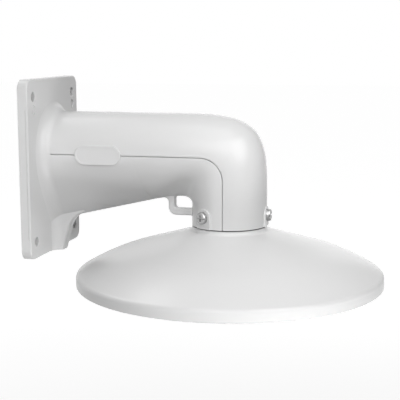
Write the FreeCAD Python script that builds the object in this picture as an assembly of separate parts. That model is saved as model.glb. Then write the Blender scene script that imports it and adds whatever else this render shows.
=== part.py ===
# Camera wall bracket: a cast aluminium arm with a wall plate, and the round cap that hangs under its neck.
# Millimetres. The origin is the centre of the wall plate's back face, on the wall.
# +X points out of the wall along the arm, +Z is up, and Y runs along the wall.
import FreeCAD, Part
import math
import os

Vec = FreeCAD.Vector
UP = Vec(0, 0, 1)
OUT = Vec(1, 0, 0)
ALONG = Vec(0, 1, 0)

# Wall plate
plate_width = 134.6
plate_height = 182.5
plate_thickness = 10.6
plate_corner_radius = 10.0
plate_edge_radius = 1.2
bolt_spacing_y = 104.4
bolt_spacing_z = 148.0
bolt_hole_diameter = 9.5
bolt_hole_chamfer = 0.5
blind_hole_drop = 13.1
blind_hole_depth = 1.2
side_line_length = 131.0
side_line_width = 1.0
side_line_depth = 0.7
side_line_setback = 2.2
side_line_centre_z = -4.4

# Arm and elbow
arm_axis_z = 15.2
arm_height_above_axis = 41.2
arm_depth_at_wall = 76.9
arm_depth_at_neck = 39.0
arm_half_width_at_wall = 40.0
arm_round_depth = 48.0
arm_round_blend = 9.0
arm_keel_half_width = 7.2
arm_keel_draw = 0.6
arm_root_radius = 12.0
arm_wall = 4.5

# Bends of the elbow: how far each reaches along the two sides of its corner, and how full its curve is.
# A circle's quarter has a fullness of 0.707, and a fuller curve comes nearer to the corner.
outer_bend_top_reach = 82.0
outer_bend_front_reach = 72.5
outer_bend_fullness = 1.62
inner_bend_arm_reach = 43.2
inner_bend_neck_reach = 11.7
inner_bend_fullness = 1.02
middle_bend_radius = 22.0
elbow_fan_drop = 9.5

# Neck
neck_axis_x = 200.8
neck_diameter = 76.6
neck_straight_length = 21.13
neck_thread_diameter = 47.8
neck_ring_height = 26.0

# Decorative groove along both sides of the arm and down the neck
groove_width = 1.1
groove_depth = 2.2
groove_start_gap = 11.9
groove_corner_radius = 23.0
groove_neck_offset = 1.3
groove_piece_length = 6.0

# Blank raised badge on each side of the arm, with a shallow field inside its rim
badge_length = 48.6
badge_height = 20.0
badge_centre_x = 72.6
badge_proud = 0.8
badge_bevel = 0.3
badge_rim_width = 2.4
badge_field_depth = 0.4

# Cable spine that runs from the arm down to the plate's bottom edge
spine_half_width = 7.2
spine_root_radius = 9.3
spine_bottom_reach = 9.6
spine_lean_deg = 16.0
spine_blend_radius = 25.0
spine_edge_radius = 2.0
cable_notch_width = 9.5
cable_notch_depth = 13.0

# Safety eye under the elbow
eye_thickness = 8.0
eye_leg_width = 6.9
eye_bar_height = 7.5
eye_window_length = 18.7
eye_bar_rise = 7.8
eye_corner_radius = 8.0
eye_edge_radius = 1.5
eye_root_radius = 5.0
eye_foot_radius = 3.0
eye_window_radius = 3.0
eye_window_neck_radius = 1.5

# Lock screws and their pads on the neck
lock_screw_angles_deg = (0.0, 120.0, 240.0)
lock_screw_names = ("lock_screw_front", "lock_screw_left", "lock_screw_right")
lock_screw_rise = 11.3
lock_screw_diameter = 6.0
lock_screw_head_diameter = 12.0
lock_screw_head_height = 4.2
lock_screw_head_round = 1.4
lock_screw_slot_width = 1.6
lock_screw_slot_depth = 1.9
lock_screw_cross_length = 6.4
pad_half_width = 9.0
pad_proud = 0.8
pad_edge_radius = 0.7

# Round cap
cap_diameter = 315.2
cap_rim_height = 8.4
cap_wall = 3.0
cap_rim_width = 3.4
cap_collar_height = 3.6
cap_collar_fillet = 4.0
cap_cone_angle_deg = 16.6
cap_cone_end_radius = 103.0
cap_dome_radius = 220.0
cap_rim_top_round = 5.3
cap_rim_bottom_round = 1.2
cap_spigot_height = 22.0
cap_spigot_chamfer = 1.2
cable_bore_diameter = 38.0
hub_diameter = 60.0
seat_height = 11.0
rib_count = 6
rib_thickness = 3.0
rib_rise = 3.0
rib_reach = 145.0
boss_count = 3
boss_circle_diameter = 180.0
boss_diameter = 14.0
camera_hole_diameter = 4.2
camera_hole_depth = 14.0

# Seals
neck_seal_thickness = 1.2
neck_seal_setback = 2.4
camera_seal_width = 3.0
camera_seal_depth = 2.0
camera_seal_proud = 0.4
camera_seal_diameter = 49.0
wall_gasket_band = 5.0
wall_gasket_depth = 1.6
wall_gasket_land = 3.5
wall_gasket_corner_radius = 12.0

# Clearances
thread_clearance = 0.15
screw_tip_clearance = 0.1
seal_clearance = 0.3
gasket_clearance = 0.2
screw_thread_clearance = 0.05

# Places worked out from the sizes above
beyond = 1.0
blend_sink = 0.2
plate_front_x = plate_thickness
arm_top_z = arm_axis_z + arm_height_above_axis
arm_bottom_z_at_wall = arm_axis_z - arm_depth_at_wall
neck_radius = neck_diameter / 2
neck_inner_x = neck_axis_x - neck_radius
arm_slope = math.atan2(arm_depth_at_wall - arm_depth_at_neck, neck_inner_x)
straight_start_x = plate_front_x + arm_root_radius - blend_sink
spigot_radius = neck_thread_diameter / 2 - thread_clearance
pad_face_radius = neck_radius + pad_proud


def arm_bottom_z(x):
    """Height of the line of the arm's straight underside at a distance x from the wall."""
    return arm_bottom_z_at_wall + x * math.tan(arm_slope)


def bend_growth(half_angle, fullness):
    """How much a bend's reaches change for each millimetre its curve moves, from half its corner's angle."""
    return (1 + fullness) * (1 / math.sin(half_angle) - 1) / math.cos(half_angle)


def outer_bend(inset):
    """Start, corner, end and fullness of the bend from the arm's top to the neck's front."""
    corner = Vec(neck_axis_x + neck_radius - inset, 0, arm_top_z - inset)
    loss = inset * bend_growth(math.pi / 4, outer_bend_fullness)
    start = corner - OUT * (outer_bend_top_reach - loss)
    end = corner - UP * (outer_bend_front_reach - loss)
    return start, corner, end, outer_bend_fullness


def middle_bend():
    """Start, corner, end and fullness of the bend in the middle line of the elbow's sides."""
    corner = Vec(neck_axis_x, 0, arm_axis_z)
    start = corner - OUT * middle_bend_radius
    end = corner - UP * middle_bend_radius
    return start, corner, end, math.sqrt(0.5)


def inner_bend(inset):
    """Start, corner, end and fullness of the bend from the arm's underside to the neck's wall side."""
    x = neck_inner_x + inset
    corner = Vec(x, 0, arm_bottom_z(x) + inset / math.cos(arm_slope))
    gain = inset * bend_growth((math.pi / 2 - arm_slope) / 2, inner_bend_fullness)
    to_wall = Vec(-math.cos(arm_slope), 0, -math.sin(arm_slope))
    start = corner + to_wall * (inner_bend_arm_reach + gain)
    end = corner - UP * (inner_bend_neck_reach + gain)
    return start, corner, end, inner_bend_fullness


def ray_to_line(origin, direction, first, second):
    """Distance from origin, along a direction in the XZ plane, to the line through two points."""
    across = Vec(first.z - second.z, 0, second.x - first.x)
    return ((first - origin) * across) / (direction * across)


def ray_to_bend(origin, angle, bend):
    """Distance from origin, along a ray in the XZ plane, to a bend or the line before or after it."""
    start, corner, end, fullness = bend
    direction = Vec(math.cos(angle), 0, math.sin(angle))
    across = Vec(-direction.z, 0, direction.x)
    start_gap = (start - origin) * across
    corner_gap = (corner - origin) * across * fullness
    end_gap = (end - origin) * across
    if start_gap <= 0:
        return ray_to_line(origin, direction, start, corner)
    if end_gap >= 0:
        return ray_to_line(origin, direction, corner, end)
    share = (corner_gap + math.sqrt(corner_gap ** 2 - start_gap * end_gap)) / -end_gap
    weight = 1 + 2 * fullness * share + share ** 2
    point = (start + corner * (2 * fullness * share) + end * share ** 2) * (1 / weight)
    return (point - origin) * direction


def elbow_fan_centre():
    """Point that the elbow's sections fan out from, square to the underside where the inner bend starts."""
    start, _, end, _ = inner_bend(0.0)
    z = end.z - elbow_fan_drop
    return Vec(start.x + (start.z - z) * math.tan(arm_slope), 0, z)


neck_bottom_z = inner_bend(0.0)[2].z - neck_straight_length
lock_screw_z = neck_bottom_z + lock_screw_rise
collar_top_z = neck_bottom_z - neck_seal_thickness
elbow_start_x = elbow_fan_centre().x - (arm_axis_z - elbow_fan_centre().z) * math.tan(arm_slope)
arm_taper = math.atan2(arm_half_width_at_wall - neck_radius, elbow_start_x - straight_start_x)


def underside_z(x):
    """Height of the arm's underside at a distance x from the wall, its bend included."""
    return neck_bottom_z + ray_to_bend(Vec(x, 0, neck_bottom_z), math.pi / 2, inner_bend(0.0))


def arm_half_width(x):
    """Half of the arm's width at its axis, which narrows evenly from the root to the elbow."""
    return arm_half_width_at_wall - max(x - straight_start_x, 0.0) * math.tan(arm_taper)


def polar(centre, radius, angle):
    """Point on a circle in the XZ plane, with the angle measured from +Z towards +X."""
    return centre + Vec(radius * math.sin(angle), 0, radius * math.cos(angle))


def cap_curve(depth):
    """Cap's top, drawn in by depth: the cone's angle, start and end, and the dome circle's centre."""
    cone = math.radians(cap_cone_angle_deg)
    cone_start = Vec(neck_radius, 0, collar_top_z - cap_collar_height)
    cone_run = cap_cone_end_radius - neck_radius
    cone_end = cone_start + Vec(cone_run, 0, -cone_run * math.tan(cone))
    centre = cone_end - Vec(math.sin(cone), 0, math.cos(cone)) * cap_dome_radius
    return cone, cone_start, polar(centre, cap_dome_radius - depth, cone), centre


def dome_z(centre, radius, r):
    """Height of a dome circle at a distance r from the neck's axis."""
    return centre.z + math.sqrt(radius ** 2 - (r - centre.x) ** 2)


def rim_round_centre():
    """Centre of the round between the dome and the rim's side."""
    r = cap_diameter / 2 - cap_rim_top_round
    return Vec(r, 0, dome_z(cap_curve(0.0)[3], cap_dome_radius - cap_rim_top_round, r))


cap_bottom_z = rim_round_centre().z - cap_rim_height
seat_z = cap_bottom_z + seat_height


def even_points(first, last):
    """Points from first to last, evenly spaced by no more than the groove's piece length."""
    count = math.ceil((last - first).Length / groove_piece_length)
    return [first + (last - first) * (i / count) for i in range(count + 1)]


def lines_through(points):
    """Straight edges from each point to the next."""
    return [Part.makeLine(a, b) for a, b in zip(points, points[1:])]


def conic(first, corner, last, weight):
    """Curve from first to last that leaves and ends along the lines to its corner."""
    curve = Part.BSplineCurve()
    curve.buildFromPolesMultsKnots([first, corner, last], (3, 3), (0.0, 1.0), False, 2, (1.0, weight, 1.0))
    return curve.toShape()


def quarter(centre, first, second):
    """Exact quarter of an ellipse from centre + first to centre + second."""
    return conic(centre + first, centre + first + second, centre + second, math.sqrt(0.5))


def blended_round_depth(depth, growth):
    """Depth of a section's round sides: all of a shallow section, and no more than the round depth."""
    limit = arm_round_depth + growth
    overlap = max(arm_round_blend - abs(depth - limit), 0.0)
    return min(depth, limit) - overlap ** 2 / (4 * arm_round_blend)


def lower_half(centre, side, inward, growth):
    """Lower half of a section: round sides that run straight on to a narrow keel, where it is deeper than round."""
    depth = inward.Length
    round_inward = inward * (blended_round_depth(depth, growth) / depth)
    drop = depth / round_inward.Length
    keel_share = (arm_keel_half_width + arm_keel_draw * growth) / side.Length
    reach = math.hypot(keel_share, drop)
    turn = math.atan2(drop, keel_share) - math.acos(1 / reach)
    halves = []
    for across in (side * -1, side):
        start = centre + across
        corner = start + round_inward * math.tan(turn / 2)
        leave = centre + across * math.cos(turn) + round_inward * math.sin(turn)
        keel = centre + across * keel_share + inward
        halves.append((start, corner, leave, keel))
    far, near = halves
    bottom = centre + inward
    round_weight = math.cos(turn / 2)
    keel_weight = drop ** 2 / reach
    return [
        conic(far[0], far[1], far[2], round_weight),
        conic(far[2], far[3], bottom, keel_weight),
        conic(bottom, near[3], near[2], keel_weight),
        conic(near[2], near[1], near[0], round_weight),
    ]


def section(origin, direction, inner, middle, outer, half_width, growth):
    """Closed section of the arm: half an ellipse outside the middle line, and the lower half inside it."""
    centre = origin + direction * middle
    side = ALONG * half_width
    outward = direction * (outer - middle)
    inward = direction * (inner - middle)
    upper = [quarter(centre, side, outward), quarter(centre, outward, side * -1)]
    return Part.Wire(upper + lower_half(centre, side, inward, growth))


def wall_section(x, inset, spread=0.0):
    """Section of the arm in a plane parallel to the wall."""
    half_width = arm_half_width(x) - inset + spread
    bottom = arm_bottom_z(x) + inset / math.cos(arm_slope) - spread
    top = arm_top_z - inset + spread
    return section(Vec(x, 0, 0), UP, bottom, arm_axis_z, top, half_width, spread - inset)


def straight_section(x, start_x, inset):
    """Section of the straight arm, in a plane that leans more and more towards the elbow's first one."""
    lean = math.tan(arm_slope) * (x - start_x) / (elbow_start_x - start_x)
    direction = Vec(-lean, 0, 1).normalize()
    origin = Vec(x, 0, arm_axis_z)
    wall_end = Vec(0, 0, arm_bottom_z(0) + inset / math.cos(arm_slope))
    neck_end = Vec(neck_inner_x, 0, arm_bottom_z(neck_inner_x) + inset / math.cos(arm_slope))
    inner = ray_to_line(origin, direction, wall_end, neck_end)
    outer = (arm_top_z - inset - arm_axis_z) / direction.z
    return section(origin, direction, inner, 0.0, outer, arm_half_width(x) - inset, -inset)


def elbow_section(angle, inset):
    """Section of the elbow in a plane of the fan."""
    centre = elbow_fan_centre()
    inner = ray_to_bend(centre, angle, inner_bend(inset))
    middle = ray_to_bend(centre, angle, middle_bend())
    outer = ray_to_bend(centre, angle, outer_bend(inset))
    direction = Vec(math.cos(angle), 0, math.sin(angle))
    return section(centre, direction, inner, middle, outer, neck_radius - inset, -inset)


def arm_solid(inset, start_x):
    """Arm, elbow and neck as one solid, drawn in from the outer surface by inset."""
    steps = 20
    start_angle = math.pi / 2 + arm_slope
    elbow_wires = [elbow_section(start_angle * (1 - i / steps), inset) for i in range(steps + 1)]
    straight_steps = 8
    step_length = (elbow_start_x - start_x) / straight_steps
    straight_wires = [straight_section(start_x + i * step_length, start_x, inset) for i in range(straight_steps)]
    straight = Part.makeLoft(straight_wires + [elbow_wires[0]], True, False)
    elbow = Part.makeLoft(elbow_wires, True, False)
    neck_length = elbow_fan_centre().z - neck_bottom_z
    neck = Part.Face(elbow_wires[-1]).extrude(UP * -neck_length)
    return straight.fuse([elbow, neck])


def arm_root():
    """Flared root of the arm: a quarter-round sweep from the plate's face to the arm's side."""
    steps = 8
    wires = []
    for i in range(steps + 1):
        turn = math.pi / 2 * i / steps
        x = straight_start_x - arm_root_radius * math.cos(turn)
        spread = arm_root_radius * (1 - math.sin(turn))
        wires.append(wall_section(x, 0.0, spread))
    return Part.makeLoft(wires, True, False)


def edges_along(shape, axis):
    """Straight edges of a shape that run along an axis."""
    found = []
    for edge in shape.Edges:
        if not isinstance(edge.Curve, Part.Line):
            continue
        lean = edge.tangentAt(edge.FirstParameter) * axis
        if abs(abs(lean) - 1) < 1e-6:
            found.append(edge)
    return found


def edges_in_plane(shape, axis, place):
    """Edges of a shape whose box is flat in a plane across an axis."""
    found = []
    for edge in shape.Edges:
        ends = [vertex.Point * axis for vertex in edge.Vertexes]
        middle = edge.valueAt((edge.FirstParameter + edge.LastParameter) / 2) * axis
        if all(abs(value - place) < 1e-5 for value in ends + [middle]):
            found.append(edge)
    return found


def box_between(low, high):
    """Box from its lowest corner to its highest corner."""
    size = high - low
    return Part.makeBox(size.x, size.y, size.z, low)


def wall_plate():
    """Plate with round corners and a softened front edge."""
    half_y = plate_width / 2
    half_z = plate_height / 2
    plate = box_between(Vec(0, -half_y, -half_z), Vec(plate_front_x, half_y, half_z))
    plate = plate.makeFillet(plate_corner_radius, edges_along(plate, OUT))
    return plate.makeFillet(plate_edge_radius, edges_in_plane(plate, OUT, plate_front_x))


def bolt_places():
    """Centres of the four wall bolts, as (y, z)."""
    half_y = bolt_spacing_y / 2
    half_z = bolt_spacing_z / 2
    return [(y, z) for y in (-half_y, half_y) for z in (-half_z, half_z)]


def plate_cuts():
    """Bolt holes with a small chamfer, the two blind holes and the lines on the plate's sides."""
    radius = bolt_hole_diameter / 2
    cuts = []
    for y, z in bolt_places():
        cuts.append(Part.makeCylinder(radius, plate_thickness + 2 * beyond, Vec(-beyond, y, z), OUT))
        cone_start = Vec(plate_front_x - bolt_hole_chamfer, y, z)
        reach = bolt_hole_chamfer + beyond
        cuts.append(Part.makeCone(radius, radius + reach, reach, cone_start, OUT))
        if z > 0:
            start = Vec(plate_front_x - blind_hole_depth, y, z - blind_hole_drop)
            cuts.append(Part.makeCylinder(radius, blind_hole_depth + beyond, start, OUT))
    line_x = plate_front_x - side_line_setback
    for side in (-1, 1):
        y_in = side * (plate_width / 2 - side_line_depth)
        y_out = side * (plate_width / 2 + beyond)
        low = Vec(line_x - side_line_width / 2, min(y_in, y_out), side_line_centre_z - side_line_length / 2)
        high = Vec(line_x + side_line_width / 2, max(y_in, y_out), side_line_centre_z + side_line_length / 2)
        cuts.append(box_between(low, high))
    return cuts


def spine_outline():
    """Side face of the cable spine, whose leaning front bends into the arm, and the bend's start."""
    lean = math.radians(spine_lean_deg)
    bottom_z = -plate_height / 2
    foot = Vec(plate_front_x + spine_bottom_reach, 0, bottom_z)
    up_dir = Vec(math.sin(lean), 0, math.cos(lean))
    arm_dir = Vec(math.cos(arm_slope), 0, math.sin(arm_slope))
    rise = arm_bottom_z(foot.x) + arm_wall / 4 - foot.z
    reach = rise / (up_dir.z - up_dir.x * math.tan(arm_slope))
    meet = foot + up_dir * reach
    turn = math.pi / 2 - lean - arm_slope
    tangent = spine_blend_radius * math.tan(turn / 2)
    first = meet - up_dir * tangent
    last = meet + arm_dir * tangent
    centre = first + Vec(math.cos(lean), 0, -math.sin(lean)) * spine_blend_radius
    middle_dir = (meet - centre).normalize()
    middle = centre + middle_dir * spine_blend_radius
    top = Vec(last.x, 0, arm_axis_z)
    back_top = Vec(0, 0, arm_axis_z)
    back_bottom = Vec(0, 0, bottom_z)
    edges = [
        Part.makeLine(foot, first),
        Part.Arc(first, middle, last).toShape(),
        Part.makeLine(last, top),
        Part.makeLine(top, back_top),
        Part.makeLine(back_top, back_bottom),
        Part.makeLine(back_bottom, foot),
    ]
    return Part.Face(Part.Wire(edges)), first


def spine_plan(z, reach_x):
    """Plan of the spine: a tongue with a concave root on the plate's face."""
    root = spine_root_radius
    start_x = plate_front_x - blend_sink
    straight_x = start_x + root
    wide = spine_half_width + root
    bend = root * (1 - math.sqrt(0.5))
    right = Vec(start_x, wide, z)
    right_mid = Vec(start_x + bend, spine_half_width + bend, z)
    right_end = Vec(straight_x, spine_half_width, z)
    right_front = Vec(reach_x, spine_half_width, z)
    left = Vec(right.x, -right.y, z)
    left_mid = Vec(right_mid.x, -right_mid.y, z)
    left_end = Vec(right_end.x, -right_end.y, z)
    left_front = Vec(right_front.x, -right_front.y, z)
    back_right = Vec(plate_front_x / 2, wide, z)
    back_left = Vec(plate_front_x / 2, -wide, z)
    edges = [
        Part.makeLine(back_right, right),
        Part.Arc(right, right_mid, right_end).toShape(),
        Part.makeLine(right_end, right_front),
        Part.makeLine(right_front, left_front),
        Part.makeLine(left_front, left_end),
        Part.Arc(left_end, left_mid, left).toShape(),
        Part.makeLine(left, back_left),
        Part.makeLine(back_left, back_right),
    ]
    return Part.Face(Part.Wire(edges))


def cable_spine():
    """Rib from the arm's underside to the plate's bottom edge, with rounded front corners."""
    outline, bend_start = spine_outline()
    low_z = -plate_height / 2 - beyond
    reach_x = outline.BoundBox.XMax + beyond
    tongue = spine_plan(low_z, reach_x).extrude(UP * (arm_axis_z + beyond - low_z))
    outline.translate(ALONG * (-plate_width / 2))
    spine = tongue.common(outline.extrude(ALONG * plate_width))
    front = []
    for side in (-1, 1):
        for edge in edges_in_plane(spine, ALONG, side * spine_half_width):
            gaps = [math.hypot(v.X - bend_start.x, v.Z - bend_start.z) for v in edge.Vertexes]
            if min(gaps) < 1e-5:
                front.append(edge)
    return spine.makeFillet(spine_edge_radius, front)


def rounded_face(corners):
    """Face in the XZ plane inside corners given as (x, z, radius), each rounded by its radius."""
    points = [Vec(x, 0, z) for x, z, _ in corners]
    following = points[1:] + points[:1]
    edges = []
    firsts = []
    lasts = []
    arcs = []
    for i, (_, _, radius) in enumerate(corners):
        before = (points[i - 1] - points[i]).normalize()
        after = (following[i] - points[i]).normalize()
        if radius == 0:
            firsts.append(points[i])
            lasts.append(points[i])
            arcs.append([])
            continue
        half_angle = before.getAngle(after) / 2
        reach = radius / math.tan(half_angle)
        inward = (before + after).normalize()
        middle = points[i] + inward * (radius / math.sin(half_angle) - radius)
        firsts.append(points[i] + before * reach)
        lasts.append(points[i] + after * reach)
        arcs.append([Part.Arc(firsts[i], middle, lasts[i]).toShape()])
    for i, arc in enumerate(arcs):
        edges += [Part.makeLine(lasts[i - 1], firsts[i])] + arc
    return Part.Face(Part.Wire(edges))


def safety_eye():
    """L-shaped rib that closes a window between the arm's underside and the neck."""
    window_left = neck_inner_x - eye_window_length
    leg_left = window_left - eye_leg_width
    bar_bottom = neck_bottom_z + eye_bar_rise
    bar_top = bar_bottom + eye_bar_height
    neck_side = neck_inner_x + blend_sink
    into = arm_wall / 2
    root_end = leg_left - 2 * eye_root_radius
    window_end = window_left + 2 * eye_window_radius
    foot_end = bar_bottom - 2 * eye_foot_radius
    window_foot_end = bar_top + 2 * eye_window_neck_radius
    above_root = (root_end, underside_z(root_end) + into, 0)
    above_window = (window_end, underside_z(window_end) + into, 0)
    behind_foot = (neck_side + into, foot_end, 0)
    behind_window = (neck_side + into, window_foot_end, 0)
    face = rounded_face([
        above_root,
        (root_end, underside_z(root_end) + blend_sink, 0),
        (leg_left, underside_z(leg_left) + blend_sink, eye_root_radius),
        (leg_left, bar_bottom, eye_corner_radius),
        (neck_side, bar_bottom, eye_foot_radius),
        (neck_side, foot_end, 0),
        behind_foot,
        behind_window,
        (neck_side, window_foot_end, 0),
        (neck_side, bar_top, eye_window_neck_radius),
        (window_left, bar_top, eye_window_radius),
        (window_left, underside_z(window_left) + blend_sink, eye_window_radius),
        (window_end, underside_z(window_end) + blend_sink, 0),
        above_window,
    ])
    face.translate(ALONG * (-eye_thickness / 2))
    rib = face.extrude(ALONG * eye_thickness)
    exposed = []
    for side in (-1, 1):
        for edge in edges_in_plane(rib, ALONG, side * eye_thickness / 2):
            gaps = [math.hypot(v.X - x, v.Z - z) for v in edge.Vertexes
                    for x, z, _ in (above_root, above_window, behind_foot, behind_window)]
            if min(gaps) > blend_sink:
                exposed.append(edge)
    return rib.makeFillet(eye_edge_radius, exposed)


def stadium(length, height, near_y, far_y):
    """Solid with a stadium's outline about the badge's centre, between two distances along Y."""
    radius = height / 2
    centre = Vec(badge_centre_x, near_y, arm_axis_z)
    left = centre - OUT * (length / 2 - radius)
    right = centre + OUT * (length / 2 - radius)
    up = UP * radius
    out = OUT * radius
    edges = [
        Part.makeLine(left + up, right + up),
        Part.Arc(right + up, right + out, right - up).toShape(),
        Part.makeLine(right - up, left - up),
        Part.Arc(left - up, left - out, left + up).toShape(),
    ]
    return Part.Face(Part.Wire(edges)).extrude(ALONG * (far_y - near_y))


def badge(side):
    """Blank stadium-shaped boss that follows the arm's side, with a rim round a shallow field."""
    arm_side = arm_half_width(badge_centre_x)
    root_y = arm_side - arm_wall / 2
    face_y = arm_side + badge_proud
    boss = stadium(badge_length, badge_height, side * root_y, side * face_y)
    boss = boss.makeChamfer(badge_bevel, edges_in_plane(boss, ALONG, side * face_y))
    field_y = face_y - badge_field_depth
    rims = 2 * badge_rim_width
    field = stadium(badge_length - rims, badge_height - rims, side * field_y, side * (face_y + beyond))
    boss = boss.cut(field)
    boss.rotate(Vec(badge_centre_x, side * arm_side, 0), UP, -side * math.degrees(arm_taper))
    return boss


def groove_lip(offset):
    """One lip of the groove, at an offset from its middle line, in short pieces over the curved elbow."""
    side_x = neck_axis_x + groove_neck_offset
    centre = Vec(side_x - groove_corner_radius, 0, arm_axis_z - groove_corner_radius)
    radius = groove_corner_radius + offset
    corner_start = centre + UP * radius
    corner_end = centre + OUT * radius
    elbow_start = Vec(elbow_start_x, 0, corner_start.z)
    elbow_end = Vec(corner_end.x, 0, elbow_fan_centre().z)
    points = [Vec(plate_front_x + groove_start_gap, 0, corner_start.z)]
    points += even_points(elbow_start, corner_start)
    edges = lines_through(points)
    turns = math.ceil(radius * math.pi / 2 / groove_piece_length)
    for i in range(turns):
        angles = [math.pi / 2 * (i + share) / turns for share in (0.0, 0.5, 1.0)]
        edges.append(Part.Arc(*[polar(centre, radius, angle) for angle in angles]).toShape())
    points = even_points(corner_end, elbow_end)
    points.append(Vec(corner_end.x, 0, neck_bottom_z - beyond))
    return edges + lines_through(points)


def groove_tool():
    """Thin band along the groove's path, less the core that lies deeper than the groove."""
    upper = groove_lip(groove_width / 2)
    lower = groove_lip(-groove_width / 2)
    start = Part.makeLine(upper[0].firstVertex().Point, lower[0].firstVertex().Point)
    end = Part.makeLine(upper[-1].lastVertex().Point, lower[-1].lastVertex().Point)
    band = Part.Face(Part.Wire([start] + upper + [end] + lower[::-1]))
    reach = arm_half_width_at_wall + beyond
    band.translate(ALONG * -reach)
    slab = band.extrude(ALONG * 2 * reach)
    return slab.cut(arm_solid(groove_depth, -beyond))


def around_neck(shape, angle_deg):
    """Shape drawn about the neck's axis along +X, turned to its place round the neck."""
    placed = shape.copy()
    placed.rotate(Vec(0, 0, 0), UP, angle_deg)
    placed.translate(Vec(neck_axis_x, 0, 0))
    return placed


def screw_pad():
    """Arch-topped flat pad on the neck, drawn along +X about the neck's axis."""
    inner = neck_radius - arm_wall
    radius = pad_half_width
    low_z = neck_bottom_z - radius
    edges = [
        Part.makeLine(Vec(inner, -radius, low_z), Vec(inner, -radius, lock_screw_z)),
        Part.Arc(Vec(inner, -radius, lock_screw_z), Vec(inner, 0, lock_screw_z + radius),
                 Vec(inner, radius, lock_screw_z)).toShape(),
        Part.makeLine(Vec(inner, radius, lock_screw_z), Vec(inner, radius, low_z)),
        Part.makeLine(Vec(inner, radius, low_z), Vec(inner, -radius, low_z)),
    ]
    pad = Part.Face(Part.Wire(edges)).extrude(OUT * (pad_face_radius - inner))
    pad = pad.makeFillet(pad_edge_radius, edges_in_plane(pad, OUT, pad_face_radius))
    below = box_between(Vec(0, -2 * radius, low_z - beyond), Vec(2 * neck_radius, 2 * radius, neck_bottom_z))
    return pad.cut(below)


def screw_hole():
    """Threaded hole for a lock screw, at its thread's outer diameter."""
    radius = lock_screw_diameter / 2 + screw_thread_clearance
    return Part.makeCylinder(radius, pad_face_radius + beyond, Vec(0, 0, lock_screw_z), OUT)


def lock_screw():
    """Pan-head machine screw with a cross recess and a full slot, drawn along +X."""
    shank_radius = lock_screw_diameter / 2
    head_radius = lock_screw_head_diameter / 2
    tip_x = spigot_radius + screw_tip_clearance
    base_x = pad_face_radius
    top_x = base_x + lock_screw_head_height
    crown = lock_screw_head_round
    bend = crown * (1 - math.sqrt(0.5))
    chamfer = shank_radius / 4
    edges = [
        Part.makeLine(Vec(tip_x, 0, 0), Vec(tip_x, 0, shank_radius - chamfer)),
        Part.makeLine(Vec(tip_x, 0, shank_radius - chamfer), Vec(tip_x + chamfer, 0, shank_radius)),
        Part.makeLine(Vec(tip_x + chamfer, 0, shank_radius), Vec(base_x, 0, shank_radius)),
        Part.makeLine(Vec(base_x, 0, shank_radius), Vec(base_x, 0, head_radius)),
        Part.makeLine(Vec(base_x, 0, head_radius), Vec(top_x - crown, 0, head_radius)),
        Part.Arc(Vec(top_x - crown, 0, head_radius), Vec(top_x - bend, 0, head_radius - bend),
                 Vec(top_x, 0, head_radius - crown)).toShape(),
        Part.makeLine(Vec(top_x, 0, head_radius - crown), Vec(top_x, 0, 0)),
        Part.makeLine(Vec(top_x, 0, 0), Vec(tip_x, 0, 0)),
    ]
    screw = Part.Face(Part.Wire(edges)).revolve(Vec(0, 0, 0), OUT, 360)
    floor_x = top_x - lock_screw_slot_depth
    half = lock_screw_slot_width / 2
    slot_reach = head_radius + beyond
    slot = box_between(Vec(floor_x, -slot_reach, -half), Vec(top_x + beyond, slot_reach, half))
    cross_half = lock_screw_cross_length / 2
    cross = box_between(Vec(floor_x, -half, -cross_half), Vec(top_x + beyond, half, cross_half))
    screw = screw.cut([slot, cross])
    screw.translate(UP * lock_screw_z)
    return screw


def gasket_frame(low_y, high_y, low_z, high_z, radius, from_x, to_x):
    """Rectangular prism along X with round corners."""
    block = box_between(Vec(from_x, low_y, low_z), Vec(to_x, high_y, high_z))
    return block.makeFillet(radius, edges_along(block, OUT))


def gasket_band(widen, depth):
    """Rectangular band round the plate's opening, open at the bottom where the cable passes."""
    inner_y = arm_half_width_at_wall - arm_wall + wall_gasket_land
    inner_top = arm_top_z - arm_wall + wall_gasket_land
    inner_low = arm_bottom_z_at_wall + arm_wall - wall_gasket_land
    band = wall_gasket_band
    radius = wall_gasket_corner_radius
    outer = gasket_frame(-inner_y - band - widen, inner_y + band + widen, inner_low - band - widen,
                         inner_top + band + widen, radius + band + widen, 0, depth)
    inner = gasket_frame(-inner_y + widen, inner_y - widen, inner_low + widen, inner_top - widen,
                         radius - widen, -beyond, depth + beyond)
    gap = cable_notch_width / 2 + wall_gasket_land - widen
    opening = box_between(Vec(-beyond, -gap, inner_low - 2 * band), Vec(depth + beyond, gap, arm_axis_z))
    return outer.cut([inner, opening])


def wall_gasket():
    """Flat rubber gasket in the back of the plate, flush with the wall."""
    return gasket_band(0.0, wall_gasket_depth)


def cable_notch():
    """Arched channel from the arm's opening to the plate's bottom edge."""
    half = cable_notch_width / 2
    low_z = -plate_height / 2 - beyond
    high_z = arm_bottom_z_at_wall + 2 * arm_wall
    block = box_between(Vec(-beyond, -half, low_z), Vec(cable_notch_depth - half, half, high_z))
    arch = Part.makeCylinder(half, high_z - low_z, Vec(cable_notch_depth - half, 0, low_z), UP)
    return block.fuse(arch)


def arm_cavity():
    """Cable passage through the plate and the arm, down to the threaded ring in the neck."""
    passage = arm_solid(arm_wall, -beyond)
    foot = Vec(neck_axis_x, 0, neck_bottom_z - beyond)
    ring = Part.makeCylinder(neck_radius, neck_ring_height + beyond, foot, UP)
    bore = Part.makeCylinder(neck_thread_diameter / 2, neck_ring_height + 2 * beyond, foot, UP)
    return [passage.cut(ring), bore]


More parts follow.
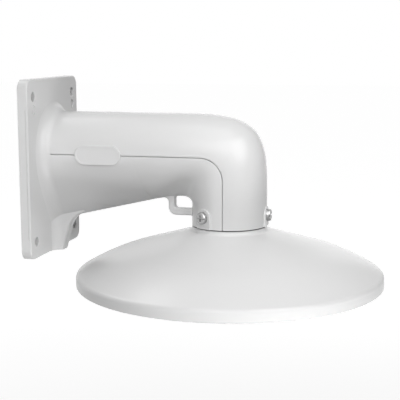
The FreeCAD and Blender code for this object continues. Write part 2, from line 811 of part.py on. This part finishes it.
def bracket_body():
    """The whole casting: wall plate, arm, neck, spine, safety eye, pads and badges."""
    arm = arm_solid(0.0, straight_start_x)
    pads = [around_neck(screw_pad(), angle) for angle in lock_screw_angles_deg]
    body = wall_plate().fuse([arm_root(), arm, cable_spine(), safety_eye()] + pads).removeSplitter()
    body = body.cut(groove_tool())
    body = body.fuse([badge(-1), badge(1)])
    body = body.cut(arm_cavity())
    holes = [around_neck(screw_hole(), angle) for angle in lock_screw_angles_deg]
    holes += plate_cuts()
    return body.cut(holes + [cable_notch(), gasket_band(gasket_clearance, wall_gasket_depth)])


def cap_shell():
    """Cap turned about the neck's axis: spigot, collar, cone, dome, rim, underside and hub."""
    cap_radius = cap_diameter / 2
    bore = cable_bore_diameter / 2
    hub = hub_diameter / 2
    cone, cone_start, cone_end, centre = cap_curve(0.0)
    inner_cone_end = cap_curve(cap_wall)[2]
    spigot_top = collar_top_z + cap_spigot_height
    chamfer = cap_spigot_chamfer
    fillet = cap_collar_fillet
    run = fillet * math.tan((math.pi / 2 - cone) / 2)
    fillet_centre = cone_start + Vec(fillet, 0, run)
    fillet_start = fillet_centre - OUT * fillet
    fillet_end = cone_start + Vec(math.cos(cone), 0, -math.sin(cone)) * run
    fillet_middle = polar(fillet_centre, fillet, math.pi + (cone + math.pi / 2) / 2)
    rim_round = cap_rim_top_round
    rim_centre = rim_round_centre()
    rim_angle = math.atan2(rim_centre.x - centre.x, rim_centre.z - centre.z)
    rim_start = polar(centre, cap_dome_radius, rim_angle)
    rim_middle = polar(rim_centre, rim_round, (rim_angle + math.pi / 2) / 2)
    rim_end = rim_centre + OUT * rim_round
    dome_middle = polar(centre, cap_dome_radius, (cone + rim_angle) / 2)
    low = cap_rim_bottom_round
    low_centre = Vec(cap_radius - low, 0, cap_bottom_z + low)
    rim_inner = cap_radius - cap_rim_width
    inner_top = Vec(rim_inner, 0, dome_z(centre, cap_dome_radius - cap_wall, rim_inner))
    inner_angle = math.atan2(inner_top.x - centre.x, inner_top.z - centre.z)
    inner_middle = polar(centre, cap_dome_radius - cap_wall, (cone + inner_angle) / 2)
    hub_top = Vec(hub, 0, inner_cone_end.z + (inner_cone_end.x - hub) * math.tan(cone))
    points = [
        Vec(bore, 0, seat_z), Vec(bore, 0, spigot_top), Vec(spigot_radius - chamfer, 0, spigot_top),
        Vec(spigot_radius, 0, spigot_top - chamfer), Vec(spigot_radius, 0, collar_top_z),
        Vec(neck_radius, 0, collar_top_z), fillet_start,
    ]
    edges = lines_through(points)
    edges.append(Part.Arc(fillet_start, fillet_middle, fillet_end).toShape())
    edges.append(Part.makeLine(fillet_end, cone_end))
    edges.append(Part.Arc(cone_end, dome_middle, rim_start).toShape())
    edges.append(Part.Arc(rim_start, rim_middle, rim_end).toShape())
    edges.append(Part.makeLine(rim_end, low_centre + OUT * low))
    edges.append(Part.Arc(low_centre + OUT * low, polar(low_centre, low, math.radians(135)),
                          low_centre - UP * low).toShape())
    edges.append(Part.makeLine(low_centre - UP * low, Vec(rim_inner, 0, cap_bottom_z)))
    edges.append(Part.makeLine(Vec(rim_inner, 0, cap_bottom_z), inner_top))
    edges.append(Part.Arc(inner_top, inner_middle, inner_cone_end).toShape())
    edges.append(Part.makeLine(inner_cone_end, hub_top))
    edges.append(Part.makeLine(hub_top, Vec(hub, 0, seat_z)))
    edges.append(Part.makeLine(Vec(hub, 0, seat_z), points[0]))
    return Part.Face(Part.Wire(edges)).revolve(Vec(0, 0, 0), UP, 360)


def underside_fill(low_z):
    """Turned solid under the cap's top, from the hub outwards, that trims the ribs and bosses."""
    sink = cap_wall / 2
    cone, _, cone_end, centre = cap_curve(sink)
    hub = hub_diameter / 2 - beyond
    end_top = Vec(rib_reach, 0, dome_z(centre, cap_dome_radius - sink, rib_reach))
    end_angle = math.atan2(end_top.x - centre.x, end_top.z - centre.z)
    middle = polar(centre, cap_dome_radius - sink, (cone + end_angle) / 2)
    hub_top = Vec(hub, 0, cone_end.z + (cone_end.x - hub) * math.tan(cone))
    edges = [
        Part.makeLine(Vec(hub, 0, low_z), hub_top),
        Part.makeLine(hub_top, cone_end),
        Part.Arc(cone_end, middle, end_top).toShape(),
        Part.makeLine(end_top, Vec(rib_reach, 0, low_z)),
        Part.makeLine(Vec(rib_reach, 0, low_z), Vec(hub, 0, low_z)),
    ]
    return Part.Face(Part.Wire(edges)).revolve(Vec(0, 0, 0), UP, 360)


def boss_angles():
    """Angles of the camera screw bosses, midway between the lock screws."""
    return [180.0 + 360.0 * i / boss_count for i in range(boss_count)]


def camera_cap():
    """Cast round cap with ribs, camera screw bosses and the groove for the camera's seal."""
    height = collar_top_z - cap_bottom_z
    half = rib_thickness / 2
    ribs = []
    for i in range(rib_count):
        rib = box_between(Vec(0, -half, cap_bottom_z), Vec(cap_diameter / 2, half, collar_top_z))
        rib.rotate(Vec(0, 0, 0), UP, 360.0 * (i + 0.5) / rib_count)
        ribs.append(rib)
    rib_fill = underside_fill(seat_z + rib_rise)
    boss_fill = underside_fill(seat_z)
    pieces = [rib.common(rib_fill) for rib in ribs]
    boss_reach = boss_circle_diameter / 2
    holes = []
    for angle in boss_angles():
        turn = math.radians(angle)
        place = Vec(boss_reach * math.cos(turn), boss_reach * math.sin(turn), 0)
        boss = Part.makeCylinder(boss_diameter / 2, height, place + UP * cap_bottom_z, UP)
        pieces.append(boss.common(boss_fill))
        holes.append(Part.makeCylinder(camera_hole_diameter / 2, camera_hole_depth + beyond,
                                       place + UP * (seat_z - beyond), UP))
    cap = cap_shell().fuse(pieces)
    cap = cap.cut(holes + [seal_ring(gasket_clearance, seat_z - beyond, seat_z + camera_seal_depth)])
    cap.translate(Vec(neck_axis_x, 0, 0))
    return cap.removeSplitter()


def seal_ring(widen, low_z, high_z):
    """Ring about the Z axis at the camera seal's diameter."""
    middle = camera_seal_diameter / 2
    half = camera_seal_width / 2 + widen
    outer = Part.makeCylinder(middle + half, high_z - low_z, UP * low_z, UP)
    inner = Part.makeCylinder(middle - half, high_z - low_z, UP * low_z, UP)
    return outer.cut(inner)


def camera_seal():
    """Rubber ring in the hub's lower face, standing a little proud of it."""
    ring = seal_ring(0.0, seat_z - camera_seal_proud, seat_z + camera_seal_depth)
    ring.translate(Vec(neck_axis_x, 0, 0))
    return ring


def neck_seal():
    """Flat rubber ring between the neck's lower face and the cap's collar."""
    place = Vec(neck_axis_x, 0, collar_top_z)
    outer = Part.makeCylinder(neck_radius - neck_seal_setback, neck_seal_thickness, place, UP)
    inner = Part.makeCylinder(spigot_radius + seal_clearance, neck_seal_thickness, place, UP)
    return outer.cut(inner)


def build():
    """Every separate piece by its node's name."""
    pieces = {
        "bracket_body": bracket_body(),
        "camera_cap": camera_cap(),
        "neck_seal": neck_seal(),
        "camera_seal": camera_seal(),
        "wall_gasket": wall_gasket(),
    }
    for name, angle in zip(lock_screw_names, lock_screw_angles_deg):
        pieces[name] = around_neck(lock_screw(), angle)
    return pieces


os.makedirs("parts", exist_ok=True)
for node, shape in build().items():
    shape.exportStep("parts/" + node + ".step")
    box = shape.BoundBox
    print(node, "solids", len(shape.Solids), "valid", shape.isValid(), "volume", round(shape.Volume),
          "box", [round(v, 1) for v in (box.XMin, box.YMin, box.ZMin, box.XMax, box.YMax, box.ZMax)])
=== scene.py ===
# Camera wall bracket: finishes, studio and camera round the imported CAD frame.
# Metres and degrees in the part's own frame: X out of the wall, Z up, the photograph taken from the -Y side.
import math

import bpy
from mathutils import Matrix, Vector


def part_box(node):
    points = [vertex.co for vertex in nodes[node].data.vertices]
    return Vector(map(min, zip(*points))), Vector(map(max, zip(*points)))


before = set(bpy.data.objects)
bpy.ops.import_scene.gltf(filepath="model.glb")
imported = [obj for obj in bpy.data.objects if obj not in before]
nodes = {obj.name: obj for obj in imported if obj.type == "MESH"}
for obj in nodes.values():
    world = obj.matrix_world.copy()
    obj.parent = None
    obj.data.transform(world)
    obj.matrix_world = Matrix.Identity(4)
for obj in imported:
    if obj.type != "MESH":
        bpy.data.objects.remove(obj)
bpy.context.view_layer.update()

# Camera, from the photograph's perspective
camera_place = Vector((0.4196, -0.9815, 0.1308))
camera_azimuth_deg = 14.29
camera_elevation_deg = 9.179
camera_roll_deg = -0.1325
lens_mm = 89.65
sensor_mm = 36.0

# Floor and world: white where the camera or gloss sees them, and dim in the light that they give
white = (1.0, 1.0, 1.0, 1.0)
floor_z = -0.60
floor_size = 30.0
floor_colour = (0.4, 0.4, 0.4, 1.0)
floor_roughness = 0.9
floor_glow_near = 0.72
floor_glow_far = 0.98
floor_glow_start = 0.4
floor_glow_end = 2.0
world_strength = 0.03

# Each lamp: name, azimuth and elevation from the aim point, distance, width, height, power in watts
aim_point = Vector((0.17, 0.0, -0.02))
lamps = [
    ("key_lamp", 50.0, 33.0, 0.55, 0.36, 0.36, 1.6),
    ("front_lamp", 3.0, 32.0, 1.7, 1.0, 1.0, 9.5),
    ("top_lamp", 0.0, 72.0, 1.7, 1.0, 1.0, 4.7),
    ("left_lamp", -100.0, 50.0, 1.7, 1.0, 1.0, 6.6),
    ("low_left_lamp", -26.0, -4.0, 1.2, 0.8, 0.4, 1.7),
    ("back_lamp", 185.0, 8.0, 1.7, 1.0, 1.0, 1.5),
    ("under_lamp", 42.0, -42.0, 0.6, 0.5, 0.25, 2.2),
]

# Where the values of a noise mostly lie, between 0 and 1
noise_low = 0.3
noise_high = 0.7

# Finishes. Scales count features per metre, heights are in metres, and dark and light multiply the colour.
# Smooth and rough are the ends of the roughness.

# Powder coat of the casting and the cap
paint_colour = (0.72, 0.72, 0.72, 1.0)
paint_ior = 1.5
paint_smooth = 0.254
paint_rough = 0.266
paint_gloss_scale = 60.0
paint_cloud_scale = 14.0
paint_cloud_dark = 0.994
paint_cloud_light = 1.004
paint_peel_scale = 620.0
paint_peel_height = 0.00002
paint_grain_scale = 2480.0
paint_grain_height = 0.000007

# Turned steel of the lock screws
steel_colour = (0.45, 0.45, 0.45, 1.0)
steel_smooth = 0.24
steel_rough = 0.38
steel_ring_scale = 1800.0
steel_ring_height = 0.00004
steel_ring_strength = 0.5
steel_smudge_scale = 220.0
steel_smudge_dark = 0.86
steel_smudge_light = 1.05

# Moulded rubber of the seals and the gasket
rubber_colour = (0.025, 0.025, 0.026, 1.0)
rubber_smooth = 0.62
rubber_rough = 0.78
rubber_bloom_scale = 90.0
rubber_bloom_dark = 1.0
rubber_bloom_light = 1.5
rubber_grain_scale = 2600.0
rubber_grain_height = 0.00003


class Shader:
    """A material's node tree, with short calls to add and join nodes."""

    def __init__(self, name):
        self.material = bpy.data.materials.new(name)
        self.material.use_nodes = True
        self.tree = self.material.node_tree
        self.bsdf = self.tree.nodes["Principled BSDF"]
        self.place = self.add("ShaderNodeTexCoord").outputs["Object"]

    def add(self, kind, **values):
        """New node. A value goes to the setting of that name, or else to the socket of that name."""
        node = self.tree.nodes.new(kind)
        for key, value in values.items():
            if hasattr(node, key):
                setattr(node, key, value)
            else:
                node.inputs[key].default_value = value
        return node

    def join(self, source, target):
        """Joins an output to an input."""
        self.tree.links.new(source, target)

    def feed(self, socket, source):
        """Joins an output to the surface's socket of that name."""
        self.join(source, self.bsdf.inputs[socket])

    def noise(self, scale, detail):
        """Noise over the object, from 0 to 1."""
        node = self.add("ShaderNodeTexNoise", Scale=scale, Detail=detail)
        self.join(self.place, node.inputs["Vector"])
        return node.outputs["Fac"]

    def spread(self, source, low, high, start=noise_low, end=noise_high):
        """Value that runs from low to high while the source runs from start to end."""
        node = self.add("ShaderNodeMapRange")
        for key, value in (("From Min", start), ("From Max", end), ("To Min", low), ("To Max", high)):
            node.inputs[key].default_value = value
        self.join(source, node.inputs["Value"])
        return node.outputs["Result"]

    def tones(self, source, colour, dark, light):
        """Colour times dark where the source is 0, up to times light where it is 1."""
        node = self.add("ShaderNodeMix", data_type="RGBA")
        for key, factor in (("A", dark), ("B", light)):
            node.inputs[key].default_value = [channel * factor for channel in colour[:3]] + [1.0]
        self.join(source, node.inputs["Factor"])
        return node.outputs["Result"]

    def bump(self, source, height, strength=1.0, below=None):
        """Bump of a height in metres, on top of the one below where there is one."""
        node = self.add("ShaderNodeBump", Strength=strength, Distance=height)
        self.join(source, node.inputs["Height"])
        if below is not None:
            self.join(below, node.inputs["Normal"])
        return node.outputs["Normal"]

    def vector(self, operation, source, other=None, result="Vector"):
        """Result of a vector operation on an output, and on another fixed vector where it takes one."""
        node = self.add("ShaderNodeVectorMath", operation=operation)
        self.join(source, node.inputs[0])
        if other is not None:
            node.inputs[1].default_value = other
        return node.outputs[result]


def powder_coat(name):
    """Baked powder coat: orange peel, a finer grain and faint clouds in colour and gloss."""
    shader = Shader(name)
    shader.bsdf.inputs["IOR"].default_value = paint_ior
    clouds = shader.spread(shader.noise(paint_cloud_scale, detail=3.0), 0.0, 1.0)
    shader.feed("Base Color", shader.tones(clouds, paint_colour, paint_cloud_dark, paint_cloud_light))
    gloss = shader.noise(paint_gloss_scale, detail=4.0)
    shader.feed("Roughness", shader.spread(gloss, paint_smooth, paint_rough))
    peel = shader.bump(shader.noise(paint_peel_scale, detail=2.0), paint_peel_height)
    grain = shader.noise(paint_grain_scale, detail=3.0)
    shader.feed("Normal", shader.bump(grain, paint_grain_height, below=peel))
    return shader.material


def turned_steel(name, centre, axis):
    """Bare stainless steel with fine rings round a screw's axis and faint smudges."""
    shader = Shader(name)
    shader.bsdf.inputs["Metallic"].default_value = 1.0
    from_centre = shader.vector("SUBTRACT", shader.place, centre)
    across_axis = shader.vector("CROSS_PRODUCT", from_centre, axis)
    radius = shader.vector("LENGTH", across_axis, result="Value")
    ring_node = shader.add("ShaderNodeTexNoise", noise_dimensions="1D", Scale=steel_ring_scale, Detail=2.0)
    shader.join(radius, ring_node.inputs["W"])
    rings = ring_node.outputs["Fac"]
    smudges = shader.spread(shader.noise(steel_smudge_scale, detail=3.0), 0.0, 1.0)
    shader.feed("Base Color", shader.tones(smudges, steel_colour, steel_smudge_dark, steel_smudge_light))
    shader.feed("Roughness", shader.spread(rings, steel_smooth, steel_rough))
    shader.feed("Normal", shader.bump(rings, steel_ring_height, strength=steel_ring_strength))
    return shader.material


def moulded_rubber(name):
    """Matt black rubber with a fine grain and a little bloom."""
    shader = Shader(name)
    bloom = shader.spread(shader.noise(rubber_bloom_scale, detail=4.0), 0.0, 1.0)
    shader.feed("Base Color", shader.tones(bloom, rubber_colour, rubber_bloom_dark, rubber_bloom_light))
    shader.feed("Roughness", shader.spread(bloom, rubber_smooth, rubber_rough, start=0.0, end=1.0))
    grain = shader.noise(rubber_grain_scale, detail=2.0)
    shader.feed("Normal", shader.bump(grain, rubber_grain_height))
    return shader.material


def give(node_name, material):
    """The material for a CAD node, in all its slots."""
    for slot in nodes[node_name].material_slots:
        slot.material = material


def middle(node_name):
    """Centre of a CAD node's box."""
    low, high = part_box(node_name)
    return (low + high) / 2


def finish_nodes():
    """A finish for every CAD node."""
    give("bracket_body", powder_coat("arm_powder_coat"))
    give("camera_cap", powder_coat("cap_powder_coat"))
    rubber = moulded_rubber("black_rubber")
    for name in ("neck_seal", "camera_seal", "wall_gasket"):
        give(name, rubber)
    neck = middle("neck_seal")
    for name in ("lock_screw_front", "lock_screw_left", "lock_screw_right"):
        centre = middle(name)
        axis = Vector((centre.x - neck.x, centre.y - neck.y, 0.0)).normalized()
        give(name, turned_steel(name + "_steel", centre, axis))


def smooth_nodes():
    """Smooth shading on every face. The normals that come with the frame keep the real edges sharp."""
    for node in nodes.values():
        for polygon in node.data.polygons:
            polygon.use_smooth = True


def outward(azimuth_deg, elevation_deg):
    """Unit vector towards an azimuth, counted from the -Y side towards +X, and an elevation."""
    azimuth = math.radians(azimuth_deg)
    elevation = math.radians(elevation_deg)
    flat = math.cos(elevation)
    return Vector((math.sin(azimuth) * flat, -math.cos(azimuth) * flat, math.sin(elevation)))


def shown_ray(tree):
    """Socket that is 1 for what the camera sees, in the open, in gloss or through glass, and else 0."""
    path = tree.nodes.new("ShaderNodeLightPath")
    shown = path.outputs["Is Camera Ray"]
    for kind in ("Is Glossy Ray", "Is Transmission Ray"):
        either = tree.nodes.new("ShaderNodeMath")
        either.operation = "MAXIMUM"
        tree.links.new(shown, either.inputs[0])
        tree.links.new(path.outputs[kind], either.inputs[1])
        shown = either.outputs["Value"]
    return shown


def floor_material():
    """Matt grey in the lamps' light, glowing for the camera up to nearly white far out. Clear from below."""
    shader = Shader("studio_floor")
    shader.bsdf.inputs["Base Color"].default_value = floor_colour
    shader.bsdf.inputs["Roughness"].default_value = floor_roughness
    shader.bsdf.inputs["Specular IOR Level"].default_value = 0.0
    below_aim = (aim_point.x, aim_point.y, floor_z)
    reach = shader.vector("DISTANCE", shader.place, below_aim, result="Value")
    fade = shader.spread(reach, floor_glow_near, floor_glow_far, start=floor_glow_start, end=floor_glow_end)
    seen = shader.add("ShaderNodeMath", operation="MULTIPLY")
    shader.join(shown_ray(shader.tree), seen.inputs[0])
    shader.join(fade, seen.inputs[1])
    glow = shader.add("ShaderNodeEmission")
    shader.join(seen.outputs["Value"], glow.inputs["Strength"])
    lit = shader.add("ShaderNodeAddShader")
    shader.join(shader.bsdf.outputs["BSDF"], lit.inputs[0])
    shader.join(glow.outputs["Emission"], lit.inputs[1])
    open_below = shader.add("ShaderNodeMixShader")
    shader.join(shader.add("ShaderNodeNewGeometry").outputs["Backfacing"], open_below.inputs["Fac"])
    shader.join(lit.outputs["Shader"], open_below.inputs[1])
    shader.join(shader.add("ShaderNodeBsdfTransparent").outputs["BSDF"], open_below.inputs[2])
    shader.join(open_below.outputs["Shader"], shader.tree.nodes["Material Output"].inputs["Surface"])
    return shader.material


def studio_floor():
    """Wide floor below the object. It keeps shadows, and a view from below looks through it."""
    half = floor_size / 2
    corners = [(-half, -half, floor_z), (half, -half, floor_z), (half, half, floor_z), (-half, half, floor_z)]
    mesh = bpy.data.meshes.new("studio_floor")
    mesh.from_pydata(corners, [], [(0, 1, 2, 3)])
    mesh.materials.append(floor_material())
    floor = bpy.data.objects.new("studio_floor", mesh)
    bpy.context.scene.collection.objects.link(floor)


def studio_world():
    """White to the camera and in gloss, and an even soft light on everything else."""
    world = bpy.data.worlds.new("studio_world")
    bpy.context.scene.world = world
    world.use_nodes = True
    tree = world.node_tree
    background = tree.nodes["Background"]
    background.inputs["Color"].default_value = white
    strength = tree.nodes.new("ShaderNodeMapRange")
    strength.inputs["To Min"].default_value = world_strength
    strength.inputs["To Max"].default_value = 1.0
    tree.links.new(shown_ray(tree), strength.inputs["Value"])
    tree.links.new(strength.outputs["Result"], background.inputs["Strength"])


def studio_lamps():
    """Soft box lamps, each aimed at the middle of the object."""
    for name, azimuth_deg, elevation_deg, distance, width, height, power in lamps:
        back = outward(azimuth_deg, elevation_deg)
        data = bpy.data.lights.new(name, "AREA")
        data.shape = "RECTANGLE"
        data.size = width
        data.size_y = height
        data.energy = power
        lamp = bpy.data.objects.new(name, data)
        lamp.location = aim_point + back * distance
        lamp.rotation_mode = "QUATERNION"
        lamp.rotation_quaternion = back.to_track_quat("Z", "Y")
        lamp.visible_camera = False
        bpy.context.scene.collection.objects.link(lamp)


def photo_camera():
    """Camera at the photograph's place, azimuth, elevation and roll."""
    back = outward(camera_azimuth_deg, camera_elevation_deg)
    azimuth = math.radians(camera_azimuth_deg)
    roll = math.radians(camera_roll_deg)
    level = Vector((math.cos(azimuth), math.sin(azimuth), 0.0))
    upright = back.cross(level)
    right = level * math.cos(roll) + upright * math.sin(roll)
    up = upright * math.cos(roll) - level * math.sin(roll)
    data = bpy.data.cameras.new("photo_camera")
    data.sensor_width = sensor_mm
    data.lens = lens_mm
    camera = bpy.data.objects.new("photo_camera", data)
    turn = Matrix((right, up, back)).transposed().to_4x4()
    camera.matrix_world = Matrix.Translation(camera_place) @ turn
    bpy.context.scene.collection.objects.link(camera)
    bpy.context.scene.camera = camera


smooth_nodes()
finish_nodes()
studio_floor()
studio_world()
studio_lamps()
photo_camera()
bpy.context.scene.view_settings.view_transform = "Standard"
